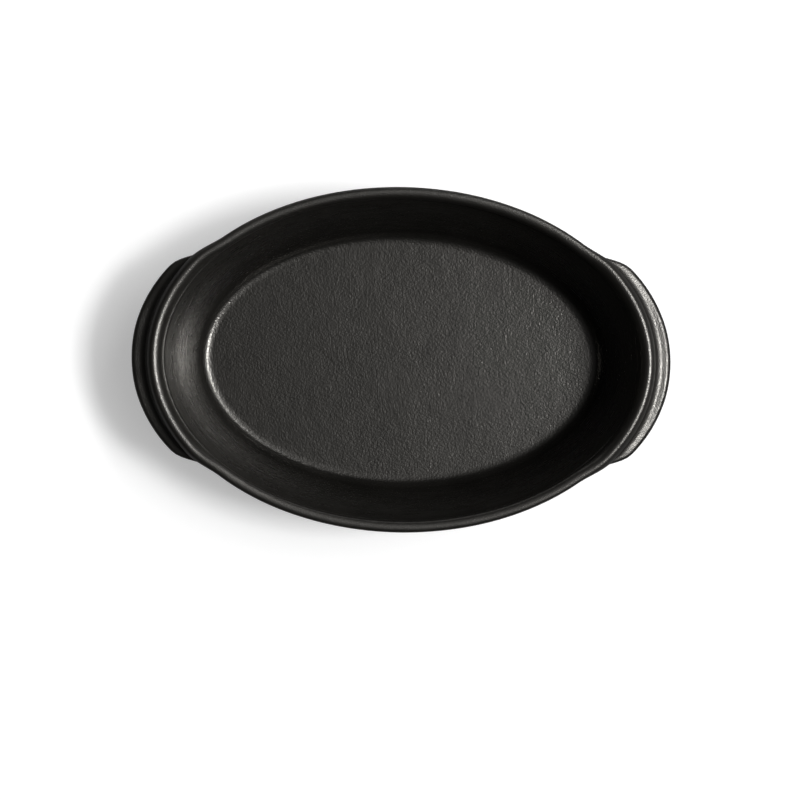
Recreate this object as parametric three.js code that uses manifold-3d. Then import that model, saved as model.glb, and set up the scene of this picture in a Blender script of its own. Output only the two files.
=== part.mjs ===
// Oval ceramic baking dish with a lug handle at each end.
// Millimetres, +Z up, +X along the dish through its handles and +Y across it.
// The origin is the middle of the foot, on the surface that the dish stands on.

import * as THREE from 'three';
import { mergeVertices } from 'three/addons/utils/BufferGeometryUtils.js';
import Module from 'manifold-3d';

const wasm = await Module();
wasm.setup();

const { degToRad, lerp, smoothstep } = THREE.MathUtils;

// The rim's outer edge is an oval, and every inset is measured inwards from it
const RIM_HALF_LENGTH = 160;
const RIM_HALF_WIDTH = 111;
const DISH_HEIGHT = 75;

// The foot ring stands a little inside the curve of the base
const FOOT_HEIGHT = 2.5;
const FOOT_WIDTH = 6;
const FOOT_SETBACK = 1;

// The base is the floor with the curved corner, and a short collar that carries the wall
const FLOOR_THICKNESS = 6.5;
const FLOOR_FILLET = 10;
const BASE_FILLET = 16;
const BASE_COLLAR = 4;

// The wall leans outwards and is thicker at its foot, both measured level
const WALL_LEAN = degToRad(17.5);
const WALL_TOP_THICKNESS = 6.3;
const WALL_FOOT_THICKNESS = 8;

// The rim is an arch on short upright sides, wider over the handles up to the end of its flare
const RIM_HEIGHT = 8;
const RIM_UPRIGHT = 2;
const RIM_OVERHANG = 1;
const LEDGE_WIDTH = 0.3;
const RIM_FLARE = 3.9;
const RIM_FLARE_ANGLE = degToRad(33);
const RIM_FLARE_END = degToRad(44);

// A handle falls away from the rim's edge in a hollow curve to a level top with a round nose
const HANDLE_REACH = 14.7;
const HANDLE_TOP_DROP = 5;
const HANDLE_HOLLOW_SLANT = 1;
const HANDLE_HOLLOW_RADIUS = 6;
const HANDLE_NOSE_HEIGHT = 7.5;
const HANDLE_NOSE_RADIUS = 2.6;
const HANDLE_ROOT_HEIGHT = 17;

// Round the end of the dish a handle narrows slowly, then fades into the wall and gets thinner
const HANDLE_SHOULDER_ANGLE = degToRad(29.5);
const HANDLE_TIP_ANGLE = degToRad(43);
const HANDLE_SHOULDER_SHARE = 0.79;
const HANDLE_TIP_SHARE = 0.06;
const HANDLE_THINNING_ANGLE = degToRad(12);
const HANDLE_TIP_HEIGHT = 6;
const JOINT_GAP = 0.3;

// Facets
const OVAL_STEPS = 80;
const ARC_STEPS = 5;
const ARCH_STEPS = 8;

// Finish
const GLAZE_COLOUR = 0x1b1a19;
const GLAZE_ROUGHNESS = 0.45;
const CLAY_COLOUR = 0x8d8071;
const CLAY_ROUGHNESS = 0.9;

// Heights and widths that follow from the sizes above
const FLOOR_LEVEL = FOOT_HEIGHT + FLOOR_THICKNESS;
const LEDGE_LEVEL = DISH_HEIGHT - RIM_HEIGHT;
const RIM_WIDTH = RIM_OVERHANG + WALL_TOP_THICKNESS - LEDGE_WIDTH;
const INNER_SLOPE = Math.tan(WALL_LEAN);
const THICKENING = (WALL_FOOT_THICKNESS - WALL_TOP_THICKNESS) / (LEDGE_LEVEL - FLOOR_LEVEL);
const OUTER_SLOPE = INNER_SLOPE - THICKENING;
const OUTER_LEAN = Math.atan(OUTER_SLOPE);
const FLOOR_FILLET_TOP = FLOOR_LEVEL + FLOOR_FILLET * (1 - Math.sin(WALL_LEAN));
const BASE_FILLET_TOP = FOOT_HEIGHT + BASE_FILLET * (1 - Math.sin(OUTER_LEAN));
const WALL_START = Math.max(FLOOR_FILLET_TOP, BASE_FILLET_TOP) + BASE_COLLAR;

function wallOuterInset(height) {
  return RIM_OVERHANG + (LEDGE_LEVEL - height) * OUTER_SLOPE;
}

function wallInnerInset(height) {
  return RIM_OVERHANG + WALL_TOP_THICKNESS + (LEDGE_LEVEL - height) * INNER_SLOPE;
}

const BASE_FILLET_RUN = BASE_FILLET * Math.tan((Math.PI / 2 - OUTER_LEAN) / 2);
const FOOT_OUTER_INSET = wallOuterInset(FOOT_HEIGHT) + BASE_FILLET_RUN + FOOT_SETBACK;
const FOOT_INNER_INSET = FOOT_OUTER_INSET + FOOT_WIDTH;
const FOOT_INNER_RADIUS = RIM_HALF_WIDTH - FOOT_INNER_INSET;

// Points of an arc of the given radius, tangent to both sides of a corner
function cornerArc(before, corner, after, radius) {
  const back = before.clone().sub(corner).normalize();
  const ahead = after.clone().sub(corner).normalize();
  const halfAngle = Math.acos(back.dot(ahead)) / 2;
  const middle = back.clone().add(ahead).setLength(radius / Math.sin(halfAngle)).add(corner);
  const spoke = back.clone().setLength(radius / Math.tan(halfAngle)).add(corner).sub(middle);
  const sweep = Math.sign(ahead.cross(back)) * (Math.PI - 2 * halfAngle);
  const origin = new THREE.Vector2();
  return Array.from({ length: ARC_STEPS + 1 }, (_, step) =>
    spoke.clone().rotateAround(origin, (sweep * step) / ARC_STEPS).add(middle));
}

// A profile from corners, each an inset, a height and the radius of its rounding if it has one
function profile(corners) {
  const points = corners.map(([inset, height]) => new THREE.Vector2(RIM_HALF_WIDTH - inset, height));
  const last = points.length - 1;
  return points.flatMap((point, index) => {
    const radius = corners[index][2] ?? 0;
    if (radius === 0) {
      return [point];
    }
    const before = points[index === 0 ? last : index - 1];
    const after = points[index === last ? 0 : index + 1];
    return cornerArc(before, point, after, radius);
  });
}

function closed(points) {
  return [...points, points[0].clone()];
}

// Turn a profile round the dish, as a circle of the oval's half width, and draw it out along X.
// Outside the middle of the floor an inset is then the same all the way round.
// The reshape function may move a point in its upright plane, by the plane's direction.
function ovalLathe(points, reshape = (radius, height) => [radius, height]) {
  const geometry = new THREE.LatheGeometry(points, OVAL_STEPS);
  geometry.rotateX(Math.PI / 2);
  const position = geometry.attributes.position;
  const stretch = RIM_HALF_LENGTH - RIM_HALF_WIDTH;
  for (let index = 0; index < position.count; index += 1) {
    const x = position.getX(index);
    const y = position.getY(index);
    const angle = Math.atan2(y, x);
    const [radius, height] = reshape(Math.hypot(x, y), position.getZ(index), angle);
    const drawOut = stretch * Math.min(1, radius / FOOT_INNER_RADIUS);
    position.setXYZ(index, (radius + drawOut) * Math.cos(angle), radius * Math.sin(angle), height);
  }
  return positionsOnly(geometry);
}

function positionsOnly(geometry) {
  geometry.deleteAttribute('normal');
  geometry.deleteAttribute('uv');
  return mergeVertices(geometry);
}

// Solids for cutting, and back to a geometry
function toSolid(geometry) {
  return new wasm.Manifold(new wasm.Mesh({
    numProp: 3,
    vertProperties: new Float32Array(geometry.attributes.position.array),
    triVerts: new Uint32Array(geometry.index.array),
  }));
}

function toGeometry(solid) {
  const mesh = solid.getMesh();
  const geometry = new THREE.BufferGeometry();
  geometry.setAttribute('position', new THREE.BufferAttribute(mesh.vertProperties, mesh.numProp));
  geometry.setIndex(new THREE.BufferAttribute(mesh.triVerts, 1));
  return geometry;
}

// Angle between a direction and the nearer end of the dish
function angleFromEnd(angle) {
  return Math.acos(Math.abs(Math.cos(angle)));
}

function footRing() {
  return ovalLathe(closed(profile([
    [FOOT_OUTER_INSET, 0],
    [FOOT_OUTER_INSET, FOOT_HEIGHT],
    [FOOT_INNER_INSET, FOOT_HEIGHT],
    [FOOT_INNER_INSET, 0],
  ])));
}

function base() {
  return ovalLathe(profile([
    [RIM_HALF_WIDTH, FOOT_HEIGHT],
    [wallOuterInset(FOOT_HEIGHT), FOOT_HEIGHT, BASE_FILLET],
    [wallOuterInset(WALL_START), WALL_START],
    [wallInnerInset(WALL_START), WALL_START],
    [wallInnerInset(FLOOR_LEVEL), FLOOR_LEVEL, FLOOR_FILLET],
    [RIM_HALF_WIDTH, FLOOR_LEVEL],
  ]));
}

function wall() {
  return ovalLathe(closed(profile([
    [wallOuterInset(WALL_START), WALL_START],
    [wallOuterInset(LEDGE_LEVEL), LEDGE_LEVEL],
    [wallInnerInset(LEDGE_LEVEL), LEDGE_LEVEL],
    [wallInnerInset(WALL_START), WALL_START],
  ])));
}

function rim() {
  const innerRadius = RIM_HALF_WIDTH - RIM_WIDTH;
  const middleRadius = RIM_HALF_WIDTH - RIM_WIDTH / 2;
  const archStart = LEDGE_LEVEL + RIM_UPRIGHT;
  const archHeight = RIM_HEIGHT - RIM_UPRIGHT;
  const arch = new THREE.EllipseCurve(middleRadius, archStart, RIM_WIDTH / 2, archHeight, 0, Math.PI);
  const points = [
    new THREE.Vector2(RIM_HALF_WIDTH, LEDGE_LEVEL),
    ...arch.getPoints(ARCH_STEPS),
    new THREE.Vector2(innerRadius, LEDGE_LEVEL),
  ];
  return ovalLathe(closed(points), (radius, height, angle) => {
    const flare = RIM_FLARE * (1 - smoothstep(angleFromEnd(angle), RIM_FLARE_ANGLE, RIM_FLARE_END));
    return [innerRadius + (radius - innerRadius) * (1 + flare / RIM_WIDTH), height];
  });
}

// Share of its full reach that a handle keeps in a direction
function handleShare(angle) {
  const turn = angleFromEnd(angle);
  const narrowing = (1 - HANDLE_SHOULDER_SHARE) * (turn / HANDLE_SHOULDER_ANGLE) ** 3;
  const fading = smoothstep(turn, HANDLE_SHOULDER_ANGLE, HANDLE_TIP_ANGLE);
  return lerp(1 - narrowing, HANDLE_TIP_SHARE, fading);
}

// Share of its full height that a handle keeps in a direction
function handleHeightShare(angle) {
  const thinning = smoothstep(angleFromEnd(angle), HANDLE_THINNING_ANGLE, HANDLE_TIP_ANGLE);
  return lerp(1, HANDLE_TIP_HEIGHT / HANDLE_ROOT_HEIGHT, thinning);
}

// A handle is the piece at one end of a ring that follows the wall's outer face
function handle(side) {
  const rootInset = (height) => wallOuterInset(height) - JOINT_GAP;
  const rootRadius = (height) => RIM_HALF_WIDTH - rootInset(height);
  const rootLevel = LEDGE_LEVEL - HANDLE_ROOT_HEIGHT;
  const topLevel = LEDGE_LEVEL - HANDLE_TOP_DROP;
  const ring = ovalLathe(closed(profile([
    [rootInset(rootLevel), rootLevel],
    [-HANDLE_REACH, topLevel - HANDLE_NOSE_HEIGHT, HANDLE_NOSE_RADIUS],
    [-HANDLE_REACH, topLevel, HANDLE_NOSE_RADIUS],
    [-RIM_FLARE - HANDLE_HOLLOW_SLANT, topLevel, HANDLE_HOLLOW_RADIUS],
    [-RIM_FLARE, LEDGE_LEVEL],
    [rootInset(LEDGE_LEVEL), LEDGE_LEVEL],
  ])), (radius, height, angle) => {
    const beyondRoot = (radius - rootRadius(height)) * handleShare(angle);
    const level = LEDGE_LEVEL - (LEDGE_LEVEL - height) * handleHeightShare(angle);
    return [rootRadius(level) + beyondRoot, level];
  });
  const tip = RIM_HALF_LENGTH * Math.cos(HANDLE_TIP_ANGLE);
  const end = new THREE.BoxGeometry(RIM_HALF_LENGTH, 2 * RIM_HALF_WIDTH, 2 * DISH_HEIGHT);
  end.translate(side * (tip + RIM_HALF_LENGTH / 2), 0, 0);
  return toGeometry(toSolid(ring).intersect(toSolid(positionsOnly(end))));
}

function subPart(name, geometry, color, roughness) {
  const material = new THREE.MeshStandardMaterial({ color, roughness, metalness: 0 });
  const mesh = new THREE.Mesh(geometry, material);
  mesh.name = name;
  return mesh;
}

const dish = new THREE.Group();
dish.add(
  subPart('foot_ring', footRing(), CLAY_COLOUR, CLAY_ROUGHNESS),
  subPart('base', base(), GLAZE_COLOUR, GLAZE_ROUGHNESS),
  subPart('wall', wall(), GLAZE_COLOUR, GLAZE_ROUGHNESS),
  subPart('rim', rim(), GLAZE_COLOUR, GLAZE_ROUGHNESS),
  subPart('handle_left', handle(-1), GLAZE_COLOUR, GLAZE_ROUGHNESS),
  subPart('handle_right', handle(1), GLAZE_COLOUR, GLAZE_ROUGHNESS),
);

export default dish;
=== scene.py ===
"""Looks of an oval ceramic baking dish in satin black glaze, seen from straight above."""

import math

import bmesh
import bpy
from mathutils import Matrix, Vector, noise


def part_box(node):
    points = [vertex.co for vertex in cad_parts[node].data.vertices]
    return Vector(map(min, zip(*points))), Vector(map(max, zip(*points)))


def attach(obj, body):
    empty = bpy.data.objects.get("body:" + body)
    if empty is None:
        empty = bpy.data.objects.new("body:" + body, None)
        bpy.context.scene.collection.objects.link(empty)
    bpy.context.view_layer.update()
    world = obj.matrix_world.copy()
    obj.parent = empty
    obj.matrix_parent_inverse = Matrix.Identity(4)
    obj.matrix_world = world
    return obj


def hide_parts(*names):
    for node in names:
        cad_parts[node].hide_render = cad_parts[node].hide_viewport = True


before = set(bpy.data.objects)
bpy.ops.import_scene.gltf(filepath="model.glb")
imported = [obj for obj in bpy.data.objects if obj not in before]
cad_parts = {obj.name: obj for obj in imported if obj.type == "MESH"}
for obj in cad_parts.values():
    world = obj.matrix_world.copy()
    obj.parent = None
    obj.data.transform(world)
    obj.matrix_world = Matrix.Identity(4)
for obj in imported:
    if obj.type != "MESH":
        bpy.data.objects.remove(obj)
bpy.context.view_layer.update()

MM = 0.001

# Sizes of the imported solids. An inset is measured inwards from the outer edge of the rim's oval.
foot_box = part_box("foot_ring")
base_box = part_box("base")
wall_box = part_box("wall")
rim_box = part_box("rim")
lug_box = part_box("handle_right")

HALF_WIDTH = rim_box[1].y
OVERHANG = HALF_WIDTH - wall_box[1].y
HALF_LENGTH = wall_box[1].x + OVERHANG
RIM_FLARE = rim_box[1].x - HALF_LENGTH
RIM_TOP = rim_box[1].z
LEDGE_LEVEL = rim_box[0].z
FOOT_TOP = foot_box[1].z
FOOT_INSET = HALF_WIDTH - foot_box[1].y
OUTER_SLOPE = (wall_box[1].y - base_box[1].y) / (wall_box[1].z - wall_box[0].z)
LUG_REACH = lug_box[1].x - HALF_LENGTH
LUG_ROOT_LEVEL = lug_box[0].z

# Floor and wall
FLOOR_THICKNESS = 6.5 * MM
FLOOR_LEVEL = FOOT_TOP + FLOOR_THICKNESS
FLOOR_FILLET = 8 * MM
FLOOR_EDGE_INSET = 31.6 * MM
FLOOR_EDGE_SLOPE = math.tan(math.radians(19))
FLOOR_EDGE_RADIUS = 11 * MM
BASE_FILLET = 16 * MM
INNER_SLOPE = math.tan(math.radians(18.7))
WALL_SWELL_DROP = 18 * MM
WALL_SWELL_IN = 1.2 * MM
WALL_SWELL_RADIUS = 90 * MM
WALL_HOLLOW_DROP = 35 * MM
WALL_HOLLOW_OUT = 0.8 * MM
WALL_HOLLOW_RADIUS = 90 * MM
WALL_TOP_THICKNESS = 6.3 * MM
LEDGE_ROUNDING = 2.4 * MM

# Rim, a bead with its widest line a little above the ledge
RIM_WIDTH = 7.8 * MM
RIM_TRIM = 0.8 * MM
RIM_BELLY = 1.5 * MM
RIM_CROWN_RADIUS = 3.4 * MM
RIM_SIDE_CROWN_RADIUS = 5.5 * MM
RIM_SKEW = 0.6 * MM
RIM_FLARE_ANGLE = math.radians(33)
RIM_FLARE_END = math.radians(44)

# Lugs
LUG_TOP_DROP = 5 * MM
LUG_TUCK = 1.2 * MM
LUG_HOLLOW_SLANT = 3.5 * MM
LUG_HOLLOW_RADIUS = 6 * MM
LUG_NOSE_HEIGHT = 7.5 * MM
LUG_NOSE_RADIUS = 3.3 * MM
LUG_ROOT_FILLET = 6 * MM
LUG_ROOT_RUN = 4 * MM
LUG_SHOULDER_ANGLE = math.radians(29.5)
LUG_TIP_ANGLE = math.radians(43)
LUG_SHOULDER_SHARE = 0.79
LUG_TIP_SHARE = 0.02
LUG_NARROWING_POWER = 3
LUG_THINNING_ANGLE = math.radians(12)
LUG_TIP_HEIGHT_SHARE = 0.35
LUG_DROOP = math.tan(math.radians(8))
LUG_DROOP_START = math.radians(8)
LUG_DROOP_END = math.radians(28)
LUG_TURN = math.radians(1.1)

# Foot
FOOT_WIDTH = 6 * MM
FOOT_ROUNDING = 0.8 * MM

# How far a piece is sunk in the one that carries it, since the real dish is one body
SINK = 0.4 * MM

# Facets
OVAL_STEPS = 240
ARC_STEPS = 10
BEAD_STEPS = 40
FACE_LENGTH = 2.5 * MM
MERGE = 0.001 * MM

# Unevenness of the pressed shape
WAVE_LENGTH = 34 * MM
WAVE_DEPTH = 0.12 * MM

# Noise: detail, and the share of its range that is used
NO_DETAIL = 0.0
SMOOTH_DETAIL = 1.0
SOME_DETAIL = 2.0
FULL_DETAIL = 3.0
GRAIN_ROUGHNESS = 0.55
MIDDLE_NOISE = (0.35, 0.65)
WIDE_NOISE = (0.3, 0.7)
SAND_NOISE = (0.4, 0.62)

# Black glaze: colour, then satin, strokes and grain. Starts and ends are heights above the floor
# or drops below the ledge.
GLAZE_DARK = (0.0056, 0.0053, 0.0047)
GLAZE_LIGHT = (0.0078, 0.0073, 0.0065)
GLAZE_TINT = (1.0, 0.97, 0.915)
GLAZE_IOR = 1.75
MOTTLE_SIZE = 24 * MM
SATIN_LOW = 0.225
SATIN_HIGH = 0.31
SATIN_START = 25 * MM
SATIN_END_DROP = 5 * MM
SATIN_GRAIN_SIZE = 5 * MM
SATIN_GRAIN = 0.03
STROKE_LENGTH = 14 * MM
STROKE_THICKNESS = 2.4 * MM
STROKE_GLOSS = 0.07
STROKE_DEPTH = 0.35 * MM
STROKE_START = 4 * MM
STROKE_FULL = 12 * MM
STROKE_FADE_DROP = 8 * MM
STROKE_END_DROP = 2 * MM
FLOOR_GRAIN_FADE = 1 * MM
FLOOR_WAVE_SIZE = 11 * MM
FLOOR_WAVE_DEPTH = 0.18 * MM
PEEL_SIZE = 1.8 * MM
PEEL_DEPTH = 0.18 * MM
OFF_FLOOR_PEEL = 0.22
PIT_SIZE = 0.9 * MM
PIT_DEPTH = 0.14 * MM
ON_FLOOR_PITS = 0.4
OFF_FLOOR_PITS = 0.8

# Bare clay
CLAY_DARK = (0.20, 0.16, 0.12)
CLAY_LIGHT = (0.32, 0.26, 0.20)
CLAY_SMOOTH = 0.82
CLAY_ROUGH = 0.95
CLAY_PATCH_SIZE = 3 * MM
SAND_SIZE = 0.8 * MM
SAND_BUMP_SIZE = 0.6 * MM
SAND_BUMP_DEPTH = 0.08 * MM
SAND_BUMP_STRENGTH = 0.4

# Ground, paler and lifted where the camera sees it
GROUND_BOUNCE = (0.15, 0.15, 0.15)
GROUND_SEEN = (0.72, 0.72, 0.72)
GROUND_LIFT = 0.37
GROUND_ROUGHNESS = 0.9

# Studio
GROUND_SIZE = 6.0
CAMERA_HEIGHT = 1.375
CAMERA_ROLL = math.radians(1.25)
CAMERA_SENSOR = 36.0
CAMERA_LENS = 91.4
CAMERA_SHIFT_X = -0.0013
CAMERA_SHIFT_Y = -0.0503
KEY_PLACE = Vector((2.2, 0.0, 3.5))
KEY_WIDTH = 0.95
KEY_HEIGHT = 0.8
KEY_POWER = 97.0
STRIP_PLACE = Vector((2.2, 0.8, 3.5))
STRIP_WIDTH = 4.0
STRIP_HEIGHT = 0.45
STRIP_POWER = 48.0
FILL_PLACE = Vector((0.0, 1.4, 0.22))
FILL_WIDTH = 2.2
FILL_HEIGHT = 0.36
FILL_POWER = 2.6
SKY_EDGE = math.radians(65)
SKY_LIGHT = 0.075
CLOTH_TOWARDS = Vector((0.54, 0.11, 0.83)).normalized()
CLOTH_CORE = math.radians(15)
CLOTH_EDGE = math.radians(44)
CLOTH_LIGHT = 0.68
HALO_TOWARDS = Vector((0.59, 0.08, 0.80)).normalized()
HALO_CORE = math.radians(6)
HALO_EDGE = math.radians(26)
HALO_LIGHT = 1.9
ROOM_LIGHT = 0.01


def smoothstep(value, low, high):
    share = min(1.0, max(0.0, (value - low) / (high - low)))
    return share * share * (3 - 2 * share)


def lerp(start, end, share):
    return start + (end - start) * share


def wall_outer_inset(height):
    return OVERHANG + (LEDGE_LEVEL - height) * OUTER_SLOPE


def wall_inner_inset(height):
    return OVERHANG + WALL_TOP_THICKNESS + (LEDGE_LEVEL - height) * INNER_SLOPE


def angle_from_end(angle):
    """Angle between a direction and the nearer end of the dish."""
    return math.acos(min(1.0, abs(math.cos(angle))))


# Mesh work

def round_corner(bm, corner, radius):
    """Round a corner of a section with an arc of that radius."""
    sides = [edge.other_vert(corner).co - corner.co for edge in corner.link_edges]
    run = radius / math.tan(sides[0].angle(sides[1]) / 2)
    bmesh.ops.bevel(bm, geom=[corner], offset=run, offset_type="OFFSET", affect="VERTICES",
                    segments=ARC_STEPS, profile=0.5, material=-1)


def draw_section(corners, closed):
    """Draw a section in the XZ plane from corners of inset, height and rounding."""
    bm = bmesh.new()
    points = [bm.verts.new((HALF_WIDTH - inset, 0, height)) for inset, height, _ in corners]
    for start, end in zip(points, points[1:]):
        bm.edges.new((start, end))
    if closed:
        bm.edges.new((points[-1], points[0]))
    for point, (_, _, radius) in zip(points, corners):
        if radius:
            round_corner(bm, point, radius)
    split_long_edges(bm)
    return bm


def split_long_edges(bm):
    for edge in bm.edges[:]:
        cuts = int(edge.calc_length() / FACE_LENGTH)
        if cuts:
            bmesh.ops.subdivide_edges(bm, edges=[edge], cuts=cuts)


def turn_round(bm):
    """Turn a section once round the upright axis."""
    bmesh.ops.spin(bm, geom=bm.verts[:] + bm.edges[:], axis=(0, 0, 1), cent=(0, 0, 0),
                   angle=math.tau, steps=OVAL_STEPS, use_merge=True)
    bmesh.ops.remove_doubles(bm, verts=bm.verts[:], dist=MERGE)


def turn_part(bm, middle, spread):
    """Turn a section through an arc about the middle direction, and close its two ends."""
    start = Matrix.Rotation(middle - spread, 3, "Z")
    bmesh.ops.rotate(bm, verts=bm.verts[:], cent=(0, 0, 0), matrix=start)
    steps = round(OVAL_STEPS * spread / math.pi)
    bmesh.ops.spin(bm, geom=bm.verts[:] + bm.edges[:], axis=(0, 0, 1), cent=(0, 0, 0),
                   angle=2 * spread, steps=steps)
    bmesh.ops.holes_fill(bm, edges=[edge for edge in bm.edges if edge.is_boundary])


def draw_out(bm, reshape=None):
    """Draw a turned circle out along X into the dish's oval, so that an inset is the same all round.

    The reshape function may first move a point in its upright plane.
    """
    stretch = HALF_LENGTH - HALF_WIDTH
    level_radius = HALF_WIDTH - FOOT_INSET - FOOT_WIDTH
    for vert in bm.verts:
        angle = math.atan2(vert.co.y, vert.co.x)
        radius = math.hypot(vert.co.x, vert.co.y)
        height = vert.co.z
        if reshape:
            radius, height = reshape(radius, height, angle)
        length = radius + stretch * min(1.0, radius / level_radius)
        vert.co = (length * math.cos(angle), radius * math.sin(angle), height)


def make_uneven(bm):
    """Press the surface in by a little here and there, as on a hand-finished piece."""
    bmesh.ops.recalc_face_normals(bm, faces=bm.faces[:])
    bm.normal_update()
    for vert in bm.verts:
        wave = 0.5 + 0.5 * noise.noise(vert.co / WAVE_LENGTH)
        vert.co -= vert.normal * WAVE_DEPTH * min(1.0, max(0.0, wave))


def place_piece(name, bm, finish, slot, *nodes):
    bmesh.ops.recalc_face_normals(bm, faces=bm.faces[:])
    mesh = bpy.data.meshes.new(name)
    bm.to_mesh(mesh)
    bm.free()
    mesh.shade_smooth()
    mesh.materials.append(finish)
    piece = bpy.data.objects.new(name, mesh)
    bpy.context.scene.collection.objects.link(piece)
    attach(piece, "root")
    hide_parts(*nodes)


# Finishes

class Finish:
    """A node material that is built up step by step."""

    def __init__(self, name):
        self.material = bpy.data.materials.new(name)
        self.material.use_nodes = True
        self.tree = self.material.node_tree
        self.shader = self.tree.nodes["Principled BSDF"]
        self.place = self.add("ShaderNodeTexCoord").outputs["Object"]

    def add(self, kind, **settings):
        node = self.tree.nodes.new(kind)
        for name, value in settings.items():
            setattr(node, name, value)
        return node

    def join(self, output, socket):
        self.tree.links.new(output, socket)

    def grain(self, size, detail):
        """Soft noise whose lumps are about that size, in metres."""
        node = self.add("ShaderNodeTexNoise")
        node.inputs["Scale"].default_value = 1 / size
        node.inputs["Detail"].default_value = detail
        node.inputs["Roughness"].default_value = GRAIN_ROUGHNESS
        self.join(self.place, node.inputs["Vector"])
        return node.outputs["Fac"]

    def streaks(self, length, thickness):
        """Soft noise drawn out round the dish, as strokes of that length and thickness."""
        level = self.add("ShaderNodeVectorMath", operation="MULTIPLY")
        level.inputs[1].default_value = (1 / HALF_LENGTH, 1 / HALF_WIDTH, 0)
        self.join(self.place, level.inputs[0])
        outwards = self.add("ShaderNodeVectorMath", operation="NORMALIZE")
        self.join(level.outputs["Vector"], outwards.inputs[0])
        upright = self.add("ShaderNodeVectorMath", operation="MULTIPLY")
        upright.inputs[1].default_value = (0, 0, 1 / thickness)
        self.join(self.place, upright.inputs[0])
        drawn = self.add("ShaderNodeVectorMath", operation="MULTIPLY_ADD")
        turns = (HALF_LENGTH + HALF_WIDTH) / 2 / length
        drawn.inputs[1].default_value = (turns, turns, turns)
        self.join(outwards.outputs["Vector"], drawn.inputs[0])
        self.join(upright.outputs["Vector"], drawn.inputs[2])
        node = self.add("ShaderNodeTexNoise")
        node.inputs["Scale"].default_value = 1.0
        node.inputs["Detail"].default_value = SOME_DETAIL
        self.join(drawn.outputs["Vector"], node.inputs["Vector"])
        return node.outputs["Fac"]

    def remap(self, value, low, high, to_low, to_high):
        node = self.add("ShaderNodeMapRange", interpolation_type="SMOOTHSTEP")
        ends = {"From Min": low, "From Max": high, "To Min": to_low, "To Max": to_high}
        for name, number in ends.items():
            node.inputs[name].default_value = number
        self.join(value, node.inputs["Value"])
        return node.outputs["Result"]

    def blend(self, share, colour, other):
        node = self.add("ShaderNodeMix", data_type="RGBA")
        node.inputs["A"].default_value = (*colour, 1)
        node.inputs["B"].default_value = (*other, 1)
        self.join(share, node.inputs["Factor"])
        return node.outputs["Result"]

    def calculate(self, operation, *values):
        node = self.add("ShaderNodeMath", operation=operation)
        for value, socket in zip(values, node.inputs):
            self.join(value, socket)
        return node.outputs["Value"]

    def height(self):
        split = self.add("ShaderNodeSeparateXYZ")
        self.join(self.place, split.inputs["Vector"])
        return split.outputs["Z"]

    def raise_grain(self, lumps, strength, depth, below=None):
        bump = self.add("ShaderNodeBump")
        bump.inputs["Distance"].default_value = depth
        if isinstance(strength, float):
            bump.inputs["Strength"].default_value = strength
        else:
            self.join(strength, bump.inputs["Strength"])
        self.join(lumps, bump.inputs["Height"])
        if below:
            self.join(below, bump.inputs["Normal"])
        return bump.outputs["Normal"]


def make_black_glaze():
    """Satin black glaze: orange peel on the floor, strokes round the wall, fine pits on rim and lugs."""
    glaze = Finish("black_glaze")
    shader = glaze.shader
    mottle = glaze.remap(glaze.grain(MOTTLE_SIZE, FULL_DETAIL), *MIDDLE_NOISE, 0.0, 1.0)
    glaze.join(glaze.blend(mottle, GLAZE_DARK, GLAZE_LIGHT), shader.inputs["Base Color"])
    height = glaze.height()
    stroke_start = FLOOR_LEVEL + STROKE_START
    stroke_full = FLOOR_LEVEL + STROKE_FULL
    stroke_fade = LEDGE_LEVEL - STROKE_FADE_DROP
    stroke_end = LEDGE_LEVEL - STROKE_END_DROP
    above_floor = glaze.remap(height, stroke_start, stroke_full, 0.0, 1.0)
    below_rim = glaze.remap(height, stroke_fade, stroke_end, 1.0, 0.0)
    on_wall = glaze.calculate("MULTIPLY", above_floor, below_rim)
    brushed = glaze.streaks(STROKE_LENGTH, STROKE_THICKNESS)
    fine = glaze.remap(glaze.grain(SATIN_GRAIN_SIZE, FULL_DETAIL), *WIDE_NOISE, 0.0, SATIN_GRAIN)
    satin_start = FLOOR_LEVEL + SATIN_START
    satin_end = LEDGE_LEVEL - SATIN_END_DROP
    satin = glaze.remap(height, satin_start, satin_end, SATIN_LOW, SATIN_HIGH)
    sheen = glaze.remap(brushed, *MIDDLE_NOISE, -STROKE_GLOSS, STROKE_GLOSS)
    gloss = glaze.calculate("MULTIPLY", sheen, on_wall)
    roughness = glaze.calculate("ADD", glaze.calculate("ADD", satin, fine), gloss)
    glaze.join(roughness, shader.inputs["Roughness"])
    grain_end = FLOOR_LEVEL + FLOOR_GRAIN_FADE
    on_floor = glaze.remap(height, FLOOR_LEVEL, grain_end, 1.0, OFF_FLOOR_PEEL)
    waves = glaze.raise_grain(glaze.grain(FLOOR_WAVE_SIZE, SMOOTH_DETAIL), on_floor, FLOOR_WAVE_DEPTH)
    peel = glaze.raise_grain(glaze.grain(PEEL_SIZE, SMOOTH_DETAIL), on_floor, PEEL_DEPTH, waves)
    strokes = glaze.raise_grain(brushed, on_wall, STROKE_DEPTH, peel)
    pitted = glaze.remap(height, FLOOR_LEVEL, grain_end, ON_FLOOR_PITS, OFF_FLOOR_PITS)
    pits = glaze.raise_grain(glaze.grain(PIT_SIZE, NO_DETAIL), pitted, PIT_DEPTH, strokes)
    glaze.join(pits, shader.inputs["Normal"])
    shader.inputs["Specular Tint"].default_value = (*GLAZE_TINT, 1)
    shader.inputs["IOR"].default_value = GLAZE_IOR
    return glaze.material


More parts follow.
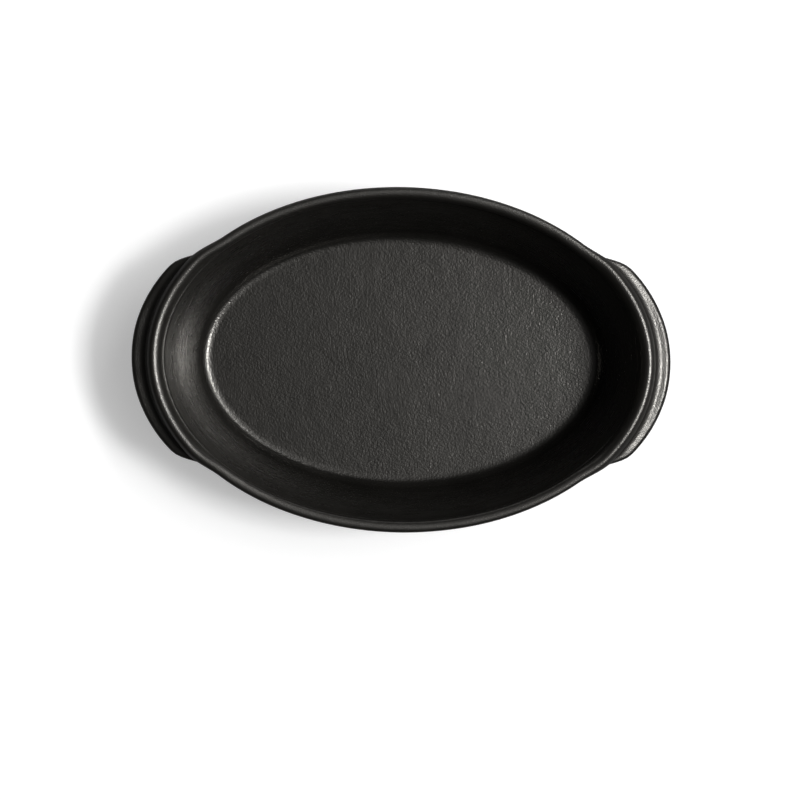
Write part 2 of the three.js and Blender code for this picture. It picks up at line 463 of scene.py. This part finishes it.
def make_bare_clay():
    """Unglazed fired clay, matte, with fine sand in it."""
    clay = Finish("bare_clay")
    shader = clay.shader
    sand = clay.remap(clay.grain(SAND_SIZE, FULL_DETAIL), *SAND_NOISE, 0.0, 1.0)
    clay.join(clay.blend(sand, CLAY_DARK, CLAY_LIGHT), shader.inputs["Base Color"])
    patches = clay.remap(clay.grain(CLAY_PATCH_SIZE, SOME_DETAIL), *WIDE_NOISE, CLAY_SMOOTH, CLAY_ROUGH)
    clay.join(patches, shader.inputs["Roughness"])
    sand_bumps = clay.grain(SAND_BUMP_SIZE, SOME_DETAIL)
    bumps = clay.raise_grain(sand_bumps, SAND_BUMP_STRENGTH, SAND_BUMP_DEPTH)
    clay.join(bumps, shader.inputs["Normal"])
    return clay.material


def make_white_ground():
    """A matte white ground that throws little light back on the dish."""
    ground = Finish("white_ground")
    shader = ground.shader
    shader.inputs["Roughness"].default_value = GROUND_ROUGHNESS
    shader.inputs["Specular IOR Level"].default_value = 0.0
    shader.inputs["Emission Color"].default_value = (1, 1, 1, 1)
    seen = ground.add("ShaderNodeLightPath").outputs["Is Camera Ray"]
    ground.join(ground.blend(seen, GROUND_BOUNCE, GROUND_SEEN), shader.inputs["Base Color"])
    ground.join(ground.remap(seen, 0.0, 1.0, 0.0, GROUND_LIFT), shader.inputs["Emission Strength"])
    return ground.material


# Pieces

def make_bowl(glaze):
    """Floor, curved corners and wall in one skin, with a softly rounded ledge at the top."""
    edge_run = FLOOR_EDGE_INSET - wall_inner_inset(FLOOR_LEVEL)
    corner_level = FLOOR_LEVEL + edge_run / (1 / FLOOR_EDGE_SLOPE - INNER_SLOPE)
    swell_level = LEDGE_LEVEL - WALL_SWELL_DROP
    hollow_level = LEDGE_LEVEL - WALL_HOLLOW_DROP
    bm = draw_section([
        (HALF_WIDTH, FOOT_TOP, 0),
        (wall_outer_inset(FOOT_TOP), FOOT_TOP, BASE_FILLET),
        (wall_outer_inset(LEDGE_LEVEL), LEDGE_LEVEL, LEDGE_ROUNDING),
        (wall_inner_inset(LEDGE_LEVEL), LEDGE_LEVEL, LEDGE_ROUNDING),
        (wall_inner_inset(swell_level) + WALL_SWELL_IN, swell_level, WALL_SWELL_RADIUS),
        (wall_inner_inset(hollow_level) - WALL_HOLLOW_OUT, hollow_level, WALL_HOLLOW_RADIUS),
        (wall_inner_inset(corner_level), corner_level, FLOOR_FILLET),
        (FLOOR_EDGE_INSET, FLOOR_LEVEL, FLOOR_EDGE_RADIUS),
        (HALF_WIDTH, FLOOR_LEVEL, 0),
    ], closed=False)
    turn_round(bm)
    draw_out(bm)
    make_uneven(bm)
    place_piece("bowl", bm, glaze, "black_glaze", "base", "wall")


def rim_flare(angle):
    return RIM_FLARE * (1 - smoothstep(angle_from_end(angle), RIM_FLARE_ANGLE, RIM_FLARE_END))


def make_rim(glaze):
    """A bead on the ledge, wider over the lugs."""
    inner_radius = HALF_WIDTH - RIM_WIDTH
    middle = Vector((HALF_WIDTH - RIM_WIDTH / 2, 0, LEDGE_LEVEL + RIM_BELLY))
    upper = RIM_TOP - middle.z
    lower = RIM_BELLY + SINK
    bm = bmesh.new()
    upright = Matrix.Rotation(math.pi / 2, 4, "X")
    bmesh.ops.create_circle(bm, cap_ends=False, radius=1, segments=BEAD_STEPS, matrix=upright)
    above = [vert for vert in bm.verts if vert.co.z > 0]
    below = [vert for vert in bm.verts if vert.co.z <= 0]
    bmesh.ops.scale(bm, vec=(RIM_WIDTH / 2, 1, upper), verts=above)
    bmesh.ops.scale(bm, vec=(RIM_WIDTH / 2, 1, lower), verts=below)
    bmesh.ops.translate(bm, vec=middle, verts=bm.verts[:])
    turn_round(bm)

    def widen(radius, height, angle):
        flare = rim_flare(angle)
        share = flare / RIM_FLARE
        width = RIM_WIDTH + flare - RIM_TRIM * share
        across = (radius - inner_radius) / RIM_WIDTH
        arch = max(0.0, 4 * across * (1 - across))
        crown = lerp(RIM_SIDE_CROWN_RADIUS, RIM_CROWN_RADIUS, share)
        # The power gives the crown its radius.
        if height > middle.z:
            height = middle.z + upper * arch ** (width * width / (8 * upper * crown))
        return inner_radius + RIM_TRIM * share + across * width + RIM_SKEW * arch, height

    draw_out(bm, widen)
    make_uneven(bm)
    place_piece("rolled_rim", bm, glaze, "black_glaze", "rim")


def lug_share(angle):
    """Share of its full reach that a lug keeps in a direction."""
    turn = angle_from_end(angle)
    narrowing = (1 - LUG_SHOULDER_SHARE) * (turn / LUG_SHOULDER_ANGLE) ** LUG_NARROWING_POWER
    fading = smoothstep(turn, LUG_SHOULDER_ANGLE, LUG_TIP_ANGLE)
    return lerp(1 - narrowing, LUG_TIP_SHARE, fading)


def lug_height_share(angle):
    thinning = smoothstep(angle_from_end(angle), LUG_THINNING_ANGLE, LUG_TIP_ANGLE)
    return lerp(1.0, LUG_TIP_HEIGHT_SHARE, thinning)


def make_lug(name, node, middle, glaze):
    """A lug that falls away from the rim in a hollow curve, with a round nose, faded into the wall."""
    top_level = LEDGE_LEVEL - LUG_TOP_DROP

    def root_inset(height):
        return wall_outer_inset(height) + SINK

    bm = draw_section([
        (root_inset(LUG_ROOT_LEVEL - LUG_ROOT_RUN), LUG_ROOT_LEVEL - LUG_ROOT_RUN, 0),
        (root_inset(LUG_ROOT_LEVEL) - SINK, LUG_ROOT_LEVEL, LUG_ROOT_FILLET),
        (-LUG_REACH, top_level - LUG_NOSE_HEIGHT, LUG_NOSE_RADIUS),
        (-LUG_REACH, top_level, LUG_NOSE_RADIUS),
        (LUG_TUCK - RIM_FLARE - LUG_HOLLOW_SLANT, top_level, LUG_HOLLOW_RADIUS),
        (LUG_TUCK - RIM_FLARE, LEDGE_LEVEL, 0),
        (root_inset(LEDGE_LEVEL), LEDGE_LEVEL, 0),
    ], closed=True)
    turn_part(bm, middle + LUG_TURN, LUG_TIP_ANGLE)

    def taper(radius, height, angle):
        turned = angle - LUG_TURN
        beyond_root = (radius - HALF_WIDTH + root_inset(height)) * lug_share(turned)
        level = LEDGE_LEVEL - (LEDGE_LEVEL - height) * lug_height_share(turned)
        beyond_rim = max(0.0, radius - HALF_WIDTH - RIM_FLARE)
        drooping = smoothstep(angle_from_end(turned), LUG_DROOP_START, LUG_DROOP_END)
        level -= beyond_rim * LUG_DROOP * drooping
        return HALF_WIDTH - root_inset(level) + beyond_root, level

    draw_out(bm, taper)
    make_uneven(bm)
    place_piece(name, bm, glaze, "black_glaze", node)


def make_foot(clay):
    """A ring of bare clay with softened edges, sunk in the underside."""
    bm = draw_section([
        (FOOT_INSET, FOOT_TOP + SINK, 0),
        (FOOT_INSET, 0, FOOT_ROUNDING),
        (FOOT_INSET + FOOT_WIDTH, 0, FOOT_ROUNDING),
        (FOOT_INSET + FOOT_WIDTH, FOOT_TOP + SINK, 0),
    ], closed=True)
    turn_round(bm)
    draw_out(bm)
    place_piece("foot", bm, clay, "bare_clay", "foot_ring")


# Studio

def link_new(name, data):
    added = bpy.data.objects.new(name, data)
    bpy.context.scene.collection.objects.link(added)
    return added


def lay_ground():
    bm = bmesh.new()
    bmesh.ops.create_grid(bm, x_segments=1, y_segments=1, size=GROUND_SIZE / 2)
    mesh = bpy.data.meshes.new("ground")
    bm.to_mesh(mesh)
    bm.free()
    mesh.materials.append(make_white_ground())
    link_new("ground", mesh)


def hang_light(name, place, width, height, power):
    """Hang a soft box that faces the dish."""
    light = bpy.data.lights.new(name, "AREA")
    light.shape = "RECTANGLE"
    light.size = width
    light.size_y = height
    light.energy = power
    box = link_new(name, light)
    box.location = place
    box.rotation_euler = place.to_track_quat("Z", "Y").to_euler()
    box.visible_camera = False


def fill_room():
    """A dim ceiling, brighter round the key light, as light on a wide cloth, and a white backdrop."""
    world = bpy.data.worlds.new("studio")
    bpy.context.scene.world = world
    world.use_nodes = True
    tree = world.node_tree
    outwards = tree.nodes.new("ShaderNodeTexCoord").outputs["Generated"]

    def patch(towards, core, edge, light):
        facing = tree.nodes.new("ShaderNodeVectorMath")
        facing.operation = "DOT_PRODUCT"
        facing.inputs[1].default_value = towards
        tree.links.new(outwards, facing.inputs[0])
        fall = tree.nodes.new("ShaderNodeMapRange")
        fall.interpolation_type = "SMOOTHSTEP"
        fall.inputs["From Min"].default_value = math.cos(edge)
        fall.inputs["From Max"].default_value = math.cos(core)
        fall.inputs["To Min"].default_value = 0.0
        fall.inputs["To Max"].default_value = light
        tree.links.new(facing.outputs["Value"], fall.inputs["Value"])
        return fall.outputs["Result"]

    light = tree.nodes.new("ShaderNodeValue").outputs["Value"]
    light.default_value = ROOM_LIGHT
    for part in (patch((0, 0, 1), 0.0, SKY_EDGE, SKY_LIGHT),
                 patch(CLOTH_TOWARDS, CLOTH_CORE, CLOTH_EDGE, CLOTH_LIGHT),
                 patch(HALO_TOWARDS, HALO_CORE, HALO_EDGE, HALO_LIGHT)):
        total = tree.nodes.new("ShaderNodeMath")
        total.operation = "ADD"
        tree.links.new(light, total.inputs[0])
        tree.links.new(part, total.inputs[1])
        light = total.outputs["Value"]
    backdrop = tree.nodes.new("ShaderNodeMath")
    backdrop.operation = "MAXIMUM"
    tree.links.new(light, backdrop.inputs[0])
    tree.links.new(tree.nodes.new("ShaderNodeLightPath").outputs["Is Camera Ray"], backdrop.inputs[1])
    background = tree.nodes["Background"]
    background.inputs["Color"].default_value = (1, 1, 1, 1)
    tree.links.new(backdrop.outputs["Value"], background.inputs["Strength"])


def set_camera():
    lens = bpy.data.cameras.new("top_camera")
    lens.sensor_width = CAMERA_SENSOR
    lens.lens = CAMERA_LENS
    lens.shift_x = CAMERA_SHIFT_X
    lens.shift_y = CAMERA_SHIFT_Y
    camera = link_new("top_camera", lens)
    camera.location = (0, 0, CAMERA_HEIGHT)
    camera.rotation_euler = (0, 0, CAMERA_ROLL)
    bpy.context.scene.camera = camera
    bpy.context.scene.view_settings.view_transform = "Standard"


black_glaze = make_black_glaze()
bare_clay = make_bare_clay()
make_bowl(black_glaze)
make_rim(black_glaze)
make_lug("lug_right", "handle_right", 0.0, black_glaze)
make_lug("lug_left", "handle_left", math.pi, black_glaze)
make_foot(bare_clay)
lay_ground()
hang_light("key_light", KEY_PLACE, KEY_WIDTH, KEY_HEIGHT, KEY_POWER)
hang_light("strip_light", STRIP_PLACE, STRIP_WIDTH, STRIP_HEIGHT, STRIP_POWER)
hang_light("fill_light", FILL_PLACE, FILL_WIDTH, FILL_HEIGHT, FILL_POWER)
fill_room()
set_camera()
